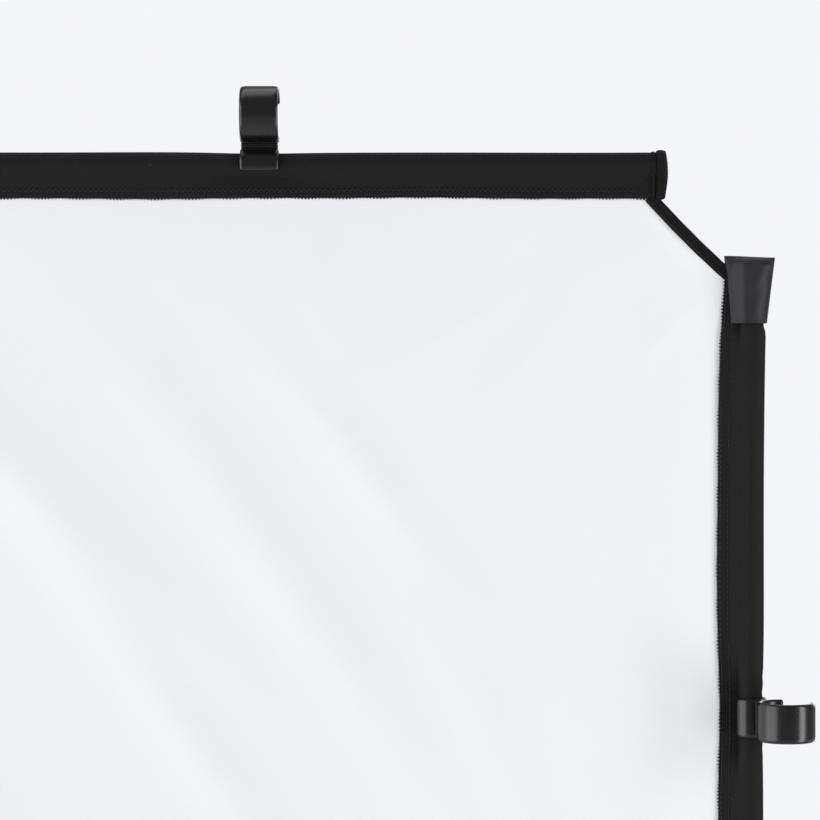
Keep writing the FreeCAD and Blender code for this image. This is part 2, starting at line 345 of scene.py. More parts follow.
white_cloth = woven(
    "white_coated_cloth", ((0.83, 0.838, 0.855), (0.88, 0.885, 0.9)), 0.36, 0.0005,
    {"Sheen Weight": 0.12, "Sheen Roughness": 0.4, "Specular IOR Level": 0.42},
)
black_cloth = woven(
    "black_backing_cloth", ((0.012, 0.012, 0.013), (0.022, 0.022, 0.024)), 0.62, 0.0008,
    {"Sheen Weight": 0.04, "Sheen Roughness": 0.5, "Specular IOR Level": 0.2}, 0.00016,
)


def ribbed_webbing(name, dark, light, rough, cross=1.1, lint=0.25):
    """Ribs come from the mesh and the bump; the colour adds cross threads, lint and a cloudy dull
    rub, and paints rib ridges lighter and grooves darker as painted light and shade.
    """
    made, tree, shader = new_material(
        name, {"Sheen Weight": 0.02, "Sheen Roughness": 0.45, "Specular IOR Level": 0.15}
    )
    flat = add_node(tree, "ShaderNodeTexCoord", out=2)
    around = add_node(tree, "ShaderNodeSeparateXYZ", out=0, Vector=flat)
    along = add_node(tree, "ShaderNodeSeparateXYZ", out=1, Vector=flat)
    rib = (around * (2 * math.pi / RIB_PITCH)).sine() * 0.5 + 0.5
    weft = (along * (2 * math.pi / cross) + rib * math.pi).sine() * 0.5 + 0.5
    place = add_node(tree, "ShaderNodeTexCoord", out=3)
    fuzz = noise(tree, place, 1400.0, 3.0)
    worn = noise(tree, place, 30.0, 5.0, 0.6)
    specks = noise(tree, place, 420.0, 1.0).step_up(0.76, 0.84) * lint
    # The rib share is painted light on every ridge and painted shade in every groove; the weft
    # share is the cross threads and the worn share is cloudy wear.
    shade = (rib * 0.45 + weft * 0.2 + worn * 0.35).clamp()
    colour = specks.mix(shade.mix(dark, light), (0.09, 0.09, 0.095))
    finish_material(
        tree, shader, rib * 0.6 + weft * 0.5 + fuzz * 0.5, (0.7, 0.00012),
        Base_Color=colour, Roughness=worn * 0.2 + rough,
    )
    return made


RIB_PITCH = 1.4  # in millimetres, as the UV map is
webbing = ribbed_webbing(
    "ribbed_black_webbing", (0.004, 0.004, 0.0042), (0.012, 0.012, 0.0125), 0.55
)
tape = ribbed_webbing(
    "black_binding_tape", (0.003, 0.003, 0.0032), (0.008, 0.008, 0.0085), 0.66, 0.8
)


# %% Vinyl, thread and moulded finishes
def grained_vinyl():
    """Leather grain: cells for the pebble and noise for creases, with noise for rubbed gloss."""
    made, tree, shader = new_material("satin_black_vinyl", {"Specular IOR Level": 0.2})
    place = add_node(tree, "ShaderNodeTexCoord", out=3)
    pebble = add_node(tree, "ShaderNodeTexVoronoi", {"feature": "SMOOTH_F1"},
                      Vector=place, Scale=900.0, Smoothness=0.6)
    crease = noise(tree, place, 260.0, 4.0)
    rub = noise(tree, place, 60.0, 3.0)
    shade = (pebble * 0.4 + rub * 0.6).clamp()
    finish_material(
        tree, shader, pebble + crease * 0.6, (0.35, 0.00012),
        Base_Color=shade.mix((0.016, 0.016, 0.02), (0.03, 0.03, 0.036)),
        Roughness=rub * 0.16 + 0.42,
    )
    return made


def sewing_thread():
    """Twisted black thread: slanted fine stripes over a cloudy dye."""
    made, tree, shader = new_material("black_thread", {"Specular IOR Level": 0.45})
    place = add_node(tree, "ShaderNodeTexCoord", out=3)
    twist = add_node(tree, "ShaderNodeTexWave", Vector=place, Scale=700.0, Distortion=1.0)
    tone = noise(tree, place, 80.0)
    shade = (twist * 0.5 + tone * 0.5).clamp()
    finish_material(
        tree, shader, twist, (0.5, 0.00008),
        Base_Color=shade.mix((0.006, 0.006, 0.0065), (0.018, 0.018, 0.0195)),
        Roughness=tone * 0.2 + 0.38,
    )
    return made


def polished_moulding():
    """Black plastic from a polished mould: faint ripple, fine scuffs and a few dust specks."""
    made, tree, shader = new_material("glossy_black_moulding", {"Specular IOR Level": 0.5})
    place = add_node(tree, "ShaderNodeTexCoord", out=3)
    ripple = noise(tree, place, 110.0, 2.0)
    fine = noise(tree, scaled(tree, place, (1500.0, 1500.0, 90.0)), 1.0, 3.0)
    scuff = fine.step_up(0.6, 0.72)
    dust = noise(tree, place, 2600.0, 1.0).step_up(0.74, 0.8)
    colour = (dust * 0.5).mix((0.005, 0.005, 0.0055), (0.05, 0.05, 0.05))
    finish_material(
        tree, shader, ripple + fine * 0.05, (0.25, 0.00025),
        Base_Color=colour, Roughness=ripple * 0.06 + scuff * 0.12 + 0.22,
    )
    return made


def drawn_metal(name, tint, rough):
    """Drawn tube: streaks along the pole, so noise stretched on every axis but the pole's."""
    made, tree, shader = new_material(name, {"Metallic": 1.0})
    place = add_node(tree, "ShaderNodeTexCoord", out=3)
    streak = noise(tree, scaled(tree, place, (600.0, 900.0, 600.0)), 0.4, 3.0)
    finish_material(
        tree, shader, streak, (0.15, 0.00005),
        Base_Color=streak.mix(tuple(c * 0.8 for c in tint), tint), Roughness=streak * 0.2 + rough,
    )
    return made


vinyl, thread, moulding = grained_vinyl(), sewing_thread(), polished_moulding()
tube_metal = drawn_metal("drawn_pole_tube", (0.62, 0.63, 0.65), 0.25)
ferrule_metal = drawn_metal("ferrule_tube", (0.5, 0.51, 0.53), 0.3)
print("finishes:", len(bpy.data.materials))

# %% [markdown]
# ## The two cloths
#
# The cloth is pulled tight from edge to edge, yet it keeps soft diagonal folds where a corner
# pulls harder than the edges. A cloth simulation of a taut sheet comes out flat, so the folds are
# put in as ridges: each is a long bell along its line and a rounded wave across it. A slow swell
# lies under them. The grid is closer near the edges, where the cloth turns into the sleeves.

# %% The cloth's shape
TUCK = 15.0 * MM  # the cloth stops this far short of the leaf's outer side
CORNER_CUT = 82.8 * MM  # on the cut line, the distances in from the side and down add up to this
HALF_W, HALF_H = (RIGHT - LEFT) / 2, (HEAD - FOOT) / 2
CLOTH_COLUMNS, CLOTH_ROWS = 150, 272
WHITE_DEPTH, BLACK_DEPTH, CLOTH_WALL = -0.35 * MM, 0.6 * MM, 0.3 * MM
EDGE_HOLD, CUT_HOLD = 40 * MM, 25 * MM
VALLEY_DEPTH, VALLEY_PLACE, VALLEY_WIDTH = 2.2 * MM, 52 * MM, 15 * MM
FOLD_GAIN = 1.8

# Folds of one corner, in millimetres: middle (in from the side, down from the top), half
# length, width, height and the angle below the level that it runs at, towards the side.
# FOLD_GAIN multiplies every height, and a height below zero is a furrow.
FOLDS = [
    (263, 242, 165, 24, 1.5, 51), (315, 330, 170, 20, 1.3, 52), (210, 190, 120, 16, 0.9, 47),
    (390, 200, 140, 24, 1.2, 40), (150, 330, 150, 18, 0.8, 62), (420, 420, 220, 34, 1.4, 55),
    (135, 114, 53, 12, 0.8, 122), (158, 145, 60, 13, 0.65, 119), (108, 134, 48, 12, -0.5, 117),
    (85, 175, 60, 9, 0.45, 106), (175, 100, 60, 9, 0.5, 145), (30, 316, 24, 12, -0.5, 90),
    (250, 60, 60, 12, 0.35, 70), (300, 62, 60, 12, -0.35, 110), (38, 86, 20, 8, 0.8, 126),
    (58, 104, 26, 9, 0.7, 126), (84, 62, 24, 9, 0.6, 140), (66, 78, 24, 9, -0.45, 132),
]


def folds_at(side, down):
    """Sum over folds of height x bell(along / length) x bell(across / width), less its flanks."""
    total = np.zeros_like(side)
    for mid_side, mid_down, length, width, height, degrees in FOLDS:
        run = math.radians(degrees)
        ds, dd = (mid_side * MM - side) / MM, (down - mid_down * MM) / MM
        along = ds * math.cos(run) + dd * math.sin(run)
        across = (-ds * math.sin(run) + dd * math.cos(run)) / width
        bend = across - 0.35 * np.sin(along / length * 1.7)
        total += height * np.exp(-((along / length) ** 2)) * (1 - bend**2) * np.exp(-(bend**2))
    return total * FOLD_GAIN * MM


def crowd(t):
    """From -1 to 1, with steps that shorten towards both ends."""
    return 0.55 * t + 0.45 * np.sin(t * math.pi / 2)


def cloth_points(front):
    """A grid on the cut shape: rows shorten at the corners; relief is folds plus a swell."""
    p = np.linspace(-1, 1, CLOTH_COLUMNS + 1)[None, :]
    q = np.linspace(-1, 1, CLOTH_ROWS + 1)[:, None]
    z = crowd(q) * (HALF_H - TUCK) + 0 * p
    width = np.minimum(HALF_W - TUCK, HALF_W + HALF_H - CORNER_CUT - np.abs(z))
    x = crowd(p) * width
    side, down = HALF_W - np.abs(x), HALF_H - np.abs(z)
    relief = folds_at(side, down)
    relief += 0.8 * MM * np.sin(x * 9.1 + 1.3 * np.sin(z * 4.3)) * np.cos(z * 5.7 + 0.8)
    relief += 0.25 * MM * np.sin(x * 31 + z * 22) * np.cos(z * 13 - x * 9)
    edge = np.minimum(side, down) - TUCK
    held = 1 - np.exp(-np.clip(edge, 0, None) / EDGE_HOLD)
    crossing = np.clip((side + down - CORNER_CUT) / CUT_HOLD, 0, 1)
    valley = VALLEY_DEPTH * np.exp(-(((side - VALLEY_PLACE) / VALLEY_WIDTH) ** 2))
    y = (valley - relief * held) * crossing + front
    return np.stack([MID_X + x, PANEL_Y + y, MID_Z + z], axis=-1)


def cloth(name, front, towards_back):
    """One cloth: the shaped grid, which faces one way and has its thickness behind it."""
    points = cloth_points(front)
    rows, columns = points.shape[:2]
    quads, _, _ = grid_quads(rows, columns, False)
    # Both cloths split each cell along the same diagonal, so that they stay a fixed gap apart.
    faces = np.concatenate([quads[:, [0, 1, 2]], quads[:, [0, 2, 3]]])
    if towards_back:
        faces = faces[:, ::-1]
    piece = put_mesh(name, points, faces.tolist(), shut=False)
    wall = piece.modifiers.new("thickness", "SOLIDIFY")
    wall.thickness, wall.offset = CLOTH_WALL, -1
    return piece


white = dress(cloth("white_face", WHITE_DEPTH, False), "panel", white_cloth,
              "white_face_fabric", slot="white_fabric")
black = dress(cloth("black_backing", BLACK_DEPTH, True), "panel", black_cloth,
              "black_backing_fabric", slot="black_fabric")
print("white looks along", [round(v, 2) for v in white.data.polygons[9000].normal])

# %% [markdown]
# ## Webbing sleeves
#
# A sleeve is one long webbing folded round the pole and sewn flat on the cloth's edge. Where a
# clip, a pocket or an end cap pinches it, its section is a keyhole: a straight layer, an arc round
# the pole, and a straight layer back. Elsewhere it opens to a teardrop, whose sides run straight
# from the seam to the pole. Ribs along the webbing lift the section by a fine cosine. Between the
# clips it stands a little slack, and beside a grip on an upright pole it puckers.

# %% Sleeve section and length
SECTION_POINTS = 181
SEAM_REACH = 12.7 * MM
POCKET_COVER, CAP_COVER = 34 * MM, 8 * MM
BULGE, BULGE_REACH, PINCH = 1.45 * MM, 45 * MM, 0.45 * MM
PINCHED_LENGTH, OPENING_LENGTH = 14 * MM, 26 * MM
SLEEVE_STEP, SLEEVE_FINE_STEP = 5.5 * MM, 1.0 * MM


def sleeve_section(leave, foot):
    """Web from the inner edge to foot, a straight side to the bead at angle leave, then the arc."""
    arc = np.linspace(leave, 0, 400)
    out = np.concatenate([[-REACH, foot], BEAD * np.cos(arc)])
    depth = np.concatenate([[WEB_HALF, WEB_HALF], BEAD * np.sin(arc)])
    out, depth = np.append(out, out[-2::-1]), np.append(-depth, depth[-2::-1])
    run = np.concatenate([[0], np.cumsum(np.hypot(np.diff(out), np.diff(depth)))])
    s = np.linspace(0, run[-1], SECTION_POINTS)
    out, depth = np.interp(s, run, out), np.interp(s, run, depth)
    slope_out, slope_depth = np.gradient(out, s), np.gradient(depth, s)
    size = np.hypot(slope_out, slope_depth)
    return s, np.stack([out, depth, slope_depth / size, -slope_out / size])


def section_pair():
    """Keyhole, pinched in to the web, and teardrop, whose sides touch the bead as tangents."""
    pinched = math.pi - math.asin(WEB_HALF / BEAD)
    seam = math.hypot(SEAM_REACH, WEB_HALF)
    tangent = math.pi - math.atan2(WEB_HALF, SEAM_REACH) - math.acos(BEAD / seam)
    s, keyhole = sleeve_section(pinched, BEAD * math.cos(pinched) - 0.01 * MM)
    return s, keyhole, sleeve_section(tangent, -SEAM_REACH)[1]


SECTION_RUN, KEYHOLE, TEARDROP = section_pair()


def ease(value):
    """0 to 1 with level ends: three squares less two cubes of the clipped value."""
    value = np.clip(value, 0, 1)
    return 3 * value**2 - 2 * value**3


def clip_places(edge):
    """Where each clip of an edge grips, measured along the pole from the edge's middle."""
    origin, _, run, _ = EDGES[edge]
    found = {}
    for joint in frame["record"]["behaviour"]["joints"]:
        if joint["name"].startswith(edge + "_"):
            offset = np.array(joint["pos_m"]) - np.array(origin)
            found[joint["child"]] = float(offset @ np.array(run, float))
    return found


def graded_length(edge, step, fine):
    """Rows along the pole: the step shrinks to fine beside each clip and at the two ends."""
    length = EDGES[edge][3]
    t = np.linspace(-length / 2, length / 2, 4000)
    dense = np.full_like(t, 1 / step)
    for spot in [*clip_places(edge).values(), -length / 2, length / 2]:
        dense += (1 / fine - 1 / step) * np.exp(-(((t - spot) / (30 * MM)) ** 2))
    travelled = np.concatenate([[0], np.cumsum((dense[1:] + dense[:-1]) / 2 * np.diff(t))])
    return np.interp(np.linspace(0, travelled[-1], int(travelled[-1]) + 1), travelled, t)


def nearness(edge, along, width):
    """1 beside a clip, falling to 0 with distance as a bell."""
    spots = np.array(list(clip_places(edge).values()))
    return np.exp(-(((along[:, None] - spots) / width) ** 2)).sum(axis=1)


def sleeve_slack(edge, along):
    """Stand-off from the pole: slow waves, a bulge by each pocket, a pinch at each clip."""
    phase = {"right": 0.0, "left": 2.1, "top": 4.4, "bottom": 1.2}[edge]
    waves = np.sin(along * 17 + phase) + 0.6 * np.sin(along * 41 + 2 * phase)
    slack = 0.2 * MM + 0.12 * MM * waves
    if edge in ("right", "left"):
        gap = EDGES[edge][3] / 2 - np.abs(along) - POCKET_COVER
        fading = np.exp(-np.clip(gap, 0, None) / BULGE_REACH)
        slack = slack + BULGE * fading * ease(gap / (6 * MM))
    free = 1 - np.clip(nearness(edge, along, 26 * MM), 0, 1)
    return slack * free - PINCH * np.clip(nearness(edge, along, 34 * MM), 0, 1)


def openness(edge, along):
    """1 where the section is a teardrop, 0 where a clip, a pocket or an end cap pinches it."""
    spots = np.array(list(clip_places(edge).values()))
    away = np.abs(along[:, None] - spots).min(axis=1)
    covered = POCKET_COVER if edge in ("right", "left") else CAP_COVER
    gap = EDGES[edge][3] / 2 - np.abs(along) - covered
    return ease((away - PINCHED_LENGTH) / OPENING_LENGTH) * ease(gap / (12 * MM))


# Creases beside a clip on an upright sleeve, in millimetres: distance above the clip's middle,
# depth, width and slant.
CREASES = [
    (15.0, 0.42, 1.7, 1.6), (20.5, 0.3, 1.4, -2.2), (27.0, 0.2, 1.8, 2.6),
    (-16.5, 0.22, 1.5, 1.4),
]


def puckers(edge, along, s):
    """Sum of sunk bells across the sleeve; each one's place wanders with a slow sine."""
    total = np.zeros((len(along), len(s)))
    if edge in ("top", "bottom"):
        return total
    rise = 1 if edge == "right" else -1
    across = s / MM
    for spot in clip_places(edge).values():
        for offset, depth, width, slant in CREASES:
            wander = slant * np.sin(across * 0.11 + offset) + 0.6 * np.sin(across * 0.37 + spot * 9)
            away = (along[:, None] - spot) * rise / MM - offset - wander[None]
            bell = np.exp(-((away / width) ** 2))
            total -= depth * MM * bell * (0.6 + 0.4 * np.sin(across * 0.23))
    return total


def inner_line(edge, along):
    """The inner edge's distance from the pole's axis, which wanders and narrows at the ends."""
    phase = {"right": 0.7, "left": 3.0, "top": 5.1, "bottom": 2.2}[edge]
    wander = 0.3 * MM * np.sin(along * 23 + phase) + 0.16 * MM * np.sin(along * 61 + phase)
    if edge in ("right", "left"):
        near_end = EDGES[edge][3] / 2 - np.abs(along)
        wander = wander - 1.5 * MM * np.exp(-((near_end / (75 * MM)) ** 2))
        wander = wander - 2.0 * MM * np.exp(-((near_end / (28 * MM)) ** 2))
        wander = wander - 0.9 * MM * np.clip(nearness(edge, along, 30 * MM), 0, 1)
    return REACH + wander


def sleeve(edge):
    """Keyhole and teardrop mixed row by row, lifted by ribs, slack and puckers on the normal."""
    along = graded_length(edge, SLEEVE_STEP, SLEEVE_FINE_STEP)
    s, share = SECTION_RUN, openness(edge, along)[:, None]
    ribs = 0.1 * MM * np.cos(2 * math.pi * s / (RIB_PITCH * MM))
    section = KEYHOLE[:, None] * (1 - share) + TEARDROP[:, None] * share
    out, depth, normal_out, normal_depth = section
    bead = np.clip(normal_out + 0.35, 0, 1)
    lift = ribs[None] + sleeve_slack(edge, along)[:, None] * bead + puckers(edge, along, s)
    gather = inner_line(edge, along)[:, None] / REACH
    moved_out = out * (1 + (gather - 1) * np.clip(-out / REACH, 0, 1)) + lift * normal_out
    points = edge_point(edge, moved_out, depth + lift * normal_depth, along[:, None])
    around = np.append(s, s[-1] + 2 * WEB_HALF) / MM
    return tube_surface(edge + "_webbing_sleeve", points, (along / MM, around))


for edge in EDGES:
    piece = dress(sleeve(edge), "panel", webbing, edge + "_sleeve", slot="webbing")
    print(piece.name, "faces:", len(piece.data.polygons))

# %% [markdown]
# The webbing's cut edge shows its cross threads as small teeth. A strip of wedges along the inner
# edge gives the saw-toothed line: four rows a tooth, two low and two high.


# %% Selvedge teeth
def selvedge(edge, pitch=1.9 * MM, height=0.95 * MM):
    """A four-sided strip whose outer line is low for half of each pitch and high for half."""
    proud = 0.06 * MM
    length = EDGES[edge][3]
    count = int(length / pitch * 4)
    along = np.linspace(-length / 2, length / 2, count + 1)
    tooth = height * (np.arange(count + 1) % 4 > 1) * (0.75 + 0.25 * np.sin(along * 300))
    root = inner_line(edge, along)
    out = -np.stack([root - 0.5 * MM, root + tooth, root + tooth, root - 0.5 * MM], axis=1)
    side = np.array([-WEB_HALF - proud, -0.75 * MM, 0.75 * MM, WEB_HALF + proud])
    points = edge_point(edge, out, side[None], along[:, None])
    lengths = (along / MM, np.arange(5) * RIB_PITCH)
    return tube_surface(edge + "_webbing_selvedge", points, lengths)


for edge in EDGES:
    dress(selvedge(edge), "panel", webbing, slot="webbing")

# %% [markdown]
# Stitches are short lengths of thread that sink into the webbing at both ends. One function
# lays any number of them between two lists of points, as arched tubes, all in one array sum.


# %% Stitches
STITCH_ROWS, STITCH_COLUMNS = 5, 6


def stitches(name, starts, ends, outward, radius=0.2 * MM, arch=0.16 * MM):
    """Tube between each start and end: centre rises by a sine, and its radius thins at the ends."""
    t = np.linspace(0, 1, STITCH_ROWS)
    turn = np.linspace(0, 2 * math.pi, STITCH_COLUMNS, endpoint=False)
    run = ends - starts
    direction = run / np.linalg.norm(run, axis=1, keepdims=True)
    up = np.broadcast_to(outward, starts.shape)
    side = np.cross(direction, up)
    bulge = np.sin(t * math.pi)
    centre = starts[:, None] + run[:, None] * t[None, :, None]
    centre = centre + up[:, None] * (arch * bulge)[None, :, None]
    reach = radius * (0.45 + 0.55 * bulge)
    ring = side[:, None] * np.cos(turn)[None, :, None] + up[:, None] * np.sin(turn)[None, :, None]
    points = centre[:, :, None] + ring[:, None] * reach[None, :, None, None]
    return many_tubes(name, points)


def seam_points(edge, along, inset, face):
    """Points on a sleeve's flat layer: inset is measured in from its inner edge."""
    line_out = -(inner_line(edge, along) - inset)
    return edge_point(edge, line_out, face * (WEB_HALF + 0.08 * MM), along)


def straight_seam(edge, inset, pitch=3.0 * MM, gap=0.35 * MM):
    """A row of stitches along the sleeve, on both faces."""
    length = EDGES[edge][3] - 4 * MM
    first = np.arange(-length / 2, length / 2 - pitch, pitch)
    for face, side in ((-1, "front"), (1, "back")):
        starts = seam_points(edge, first, inset, face)
        ends = seam_points(edge, first + pitch - gap, inset, face)
        name = f"{edge}_seam_{inset / MM:.0f}mm_{side}"
        piece = stitches(name, starts, ends, np.array((0.0, face, 0.0)))
        dress(piece, "panel", thread, slot="webbing")


def zigzag_seam(edge, inset, width=2.0 * MM, pitch=1.5 * MM):
    """Stitches that cross the flat layer from side to side, on both faces."""
    length = EDGES[edge][3] - 30 * MM
    along = np.arange(-length / 2, length / 2, pitch)
    swing = np.where(np.arange(len(along)) % 2 == 0, 0.0, width)
    for face, side in ((-1, "front"), (1, "back")):
        spots = seam_points(edge, along, inset + swing, face)
        name = f"{edge}_zigzag_{side}"
        piece = stitches(name, spots[:-1], spots[1:], np.array((0.0, face, 0.0)))
        dress(piece, "panel", thread, slot="webbing")


LEVEL_SEAM, LEVEL_ZIGZAG = 1.4 * MM, 3.2 * MM
UPRIGHT_SEAMS = (1.2 * MM, 5.4 * MM)

for edge in ("top", "bottom"):
    straight_seam(edge, LEVEL_SEAM)
    zigzag_seam(edge, LEVEL_ZIGZAG)
for edge in ("right", "left"):
    for inset in UPRIGHT_SEAMS:
        straight_seam(edge, inset)
print("seams are sewn")

# %% [markdown]
# ## Bindings at the ends of the level sleeves
#
# A piece of tape turned over the sleeve's end closes it and keeps the pole in. The tape lies on
# the sleeve like a cap, then folds down to a flat seam at the end, so its rings start as a swollen
# keyhole and flatten over the last few millimetres.


# %% End bindings
CAP_FROM_END, CAP_PAST_END, CAP_BARREL = 7.2 * MM, 1.0 * MM, 1.5 * MM
CAP_STITCH = 2.2 * MM


def end_binding(name, edge, side):
    """Swollen keyhole rings with a groove; the last ones close in depth by a quarter circle."""
    inner = side * (EDGES[edge][3] / 2 - CAP_FROM_END)
    outer = side * (EDGES[edge][3] / 2 + CAP_PAST_END)
    out, depth, normal_out, normal_depth = KEYHOLE
    t = np.linspace(0, 1, 40)
    along = inner + (outer - inner) * t
    swell = 0.28 * MM + 0.45 * MM * np.clip(t * 9, 0, 1) + 0.5 * MM * ease((t - 0.33) / 0.12)
    swell = swell - 0.55 * MM * np.exp(-(((t - 0.32) / 0.05) ** 2))
    swell = swell + 0.5 * MM * np.exp(-(((t - 0.66) / 0.22) ** 2))
    close = np.sqrt(np.clip(1 - ((t - 0.7) / 0.32).clip(0, 1) ** 2, 0.02, 1))
    moved_out = out[None] * (0.94 + 0.06 * close[:, None]) + swell[:, None] * normal_out[None]
    moved_out = moved_out - np.where(out < -0.92 * REACH, 0.9 * MM, 0.0)[None]
    moved_depth = (depth[None] + swell[:, None] * normal_depth[None]) * close[:, None]
    barrel = 1 - ((out[None] + 5 * MM) / (13 * MM)) ** 2
    moved_along = along[:, None] + side * CAP_BARREL * t[:, None] * barrel
    points = edge_point(edge, moved_out, moved_depth, moved_along)
    around = np.append(SECTION_RUN, SECTION_RUN[-1] + 2 * WEB_HALF) / MM
    piece = tube_surface(name + "_end_cap", points, (around[-1] * t, around))
    dress(piece, "panel", tape, name + "_sleeve_end_binding", slot="binding_tape")
    rows = -np.arange(-REACH + 1.2 * MM + BEAD * 0.9, REACH - 2.5 * MM, CAP_STITCH)
    rows = rows[rows < -BEAD * 0.95]
    spot = np.full_like(rows, inner + (outer - inner) * 0.2)
    for face, which in ((-1, "front"), (1, "back")):
        lift = face * (WEB_HALF + 0.95 * MM)
        starts = edge_point(edge, rows, lift, spot)
        ends = edge_point(edge, rows - CAP_STITCH * 0.8, lift, spot)
        sewn = stitches(f"{name}_end_cap_seam_{which}", starts, ends, np.array((0.0, face, 0.0)))
        dress(sewn, "panel", thread, slot="binding_tape")


# Each corner: its level edge, its upright edge, and its side of the leaf along X and along Z.
CORNERS = {
    "top_right": ("top", "right", 1, 1), "top_left": ("top", "left", -1, 1),
    "bottom_right": ("bottom", "right", 1, -1), "bottom_left": ("bottom", "left", -1, -1),
}
for corner, (level, _, side_x, _) in CORNERS.items():
    end_binding(corner, level, -side_x if level == "top" else side_x)

# %% [markdown]
# ## Tape on the corner cuts
#
# A tape folded over the cut edge stops it from fraying and takes the corner's pull. It is a flat
# oval section carried from one sleeve to the other, and it bows a little towards the cloth.


# %% Corner tapes
def corner_spot(side_x, side_z, side, down, depth):
    """A point by its distances in from the side and down from the top, at any corner."""
    side, down, depth = np.broadcast_arrays(side, down, depth)
    x = MID_X + side_x * (HALF_W - side)
    z = MID_Z + side_z * (HALF_H - down)
    return np.stack([x, PANEL_Y + depth, z], axis=-1)


TAPE_WIDTH, TAPE_HALF_DEPTH, TAPE_BOW = 6.9 * MM, 1.15 * MM, 0.9 * MM
TAPE_OVERLAP, TAPE_END, TAPE_STITCH = 3.0 * MM, 16.0 * MM, 2.6


def signed_power(value, exponent):
    """The value's size to a power, with its sign kept."""
    return np.sign(value) * np.abs(value) ** exponent


def corner_tape(name, side_x, side_z):
    """A flat rounded section along the 45 degree cut; the middle sags by a low parabola."""
    t = np.linspace(0, 1, 70)
    start, end = CORNER_CUT - FACE + TAPE_OVERLAP, TAPE_END
    side = start + (end - start) * t
    turn = np.linspace(0, 2 * math.pi, 40, endpoint=False)
    width = TAPE_WIDTH / 2
    across = width * signed_power(np.cos(turn), 0.35)
    depth = TAPE_HALF_DEPTH * signed_power(np.sin(turn), 0.6)
    ribs = 1 + 0.06 * np.cos(across / MM * 4.6)
    bow = TAPE_BOW * 4 * t * (1 - t) + 0.05 * MM * np.sin(t * 23)
    middle = (width - 0.4 * MM) + bow[:, None] + across[None]
    shift = middle / math.sqrt(2)
    down = CORNER_CUT - side
    points = corner_spot(side_x, side_z, side[:, None] + shift, down[:, None] + shift,
                         depth[None] * ribs[None])
    around = np.linspace(0, 2 * (TAPE_WIDTH + TAPE_HALF_DEPTH) / MM, len(turn) + 1)
    length = math.sqrt(2) * (start - end) / MM
    piece = tube_surface(name + "_corner_binding", points, (t * length, around))
    dress(piece, "panel", tape, name + "_corner_tape", slot="binding_tape")
    count = int(length / TAPE_STITCH)
    first = (np.arange(count) + 0.1) / count
    last = first + 0.78 / count
    for face, which in ((-1, "front"), (1, "back")):
        spots = []
        for u in (first, last):
            line = start + (end - start) * u
            offset = (TAPE_WIDTH * 0.78 + TAPE_BOW * 4 * u * (1 - u)) / math.sqrt(2)
            spots.append(corner_spot(side_x, side_z, line + offset, CORNER_CUT - line + offset,
                                     face * 1.1 * MM))
        sewn = stitches(f"{name}_corner_seam_{which}", *spots, np.array((0.0, face, 0.0)))
        dress(sewn, "panel", thread, slot="binding_tape")


for corner, (_, _, side_x, side_z) in CORNERS.items():
    corner_tape(corner, side_x, side_z)

# %% [markdown]
# ## Vinyl pole pockets
#
# The ends of the upright poles push into vinyl pockets. A pocket is a tube of one girth, sewn shut
# at the tip: flat and wide there, round where the pole fills it. Its rings go from a flat oval to
# a full one, with a hem at each end and soft creases between.

# %% Pole pockets
POCKET_ROWS, POCKET_COLUMNS = 74, 96
MOUTH_WIDTH, MOUTH_PROUD = 20.6 * MM, 2.2 * MM
TIP_HALF_DEPTH, FILL_DEPTH = 1.5 * MM, 6.9 * MM
SIDE_HEM = 0.86  # the side seam's place, as a share of the half width
FLAT_SHARE = 0.35  # the ovals are pointed over this share of the length, from the tip
SEAM_START, SEAM_END, SEAM_STITCHES, SEAM_STITCH = 0.12, 0.93, 14, 0.042


def pocket_ring(t):
    """Outer side, inner side and half depth, from the sewn tip (t = 0) to the mouth (t = 1)."""
    low, high = (np.array(p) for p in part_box("top_right_pole_pocket"))
    proud, width = high[0] - RIGHT, high[0] - low[0]
    outer = BEAD + proud + (MOUTH_PROUD - proud) * t
    inner = outer - (width + (MOUTH_WIDTH - width) * t)
    fill = 1 - np.exp(-((t / 0.055) ** 1.4))
    return outer, inner, TIP_HALF_DEPTH + FILL_DEPTH * fill


def pouch_depth(out, ring_depth):
    """The pouch is full over the bead, and thins to a half towards the panel."""
    return ring_depth * (0.5 + 0.5 * ease((out + 12 * MM) / (8 * MM)))


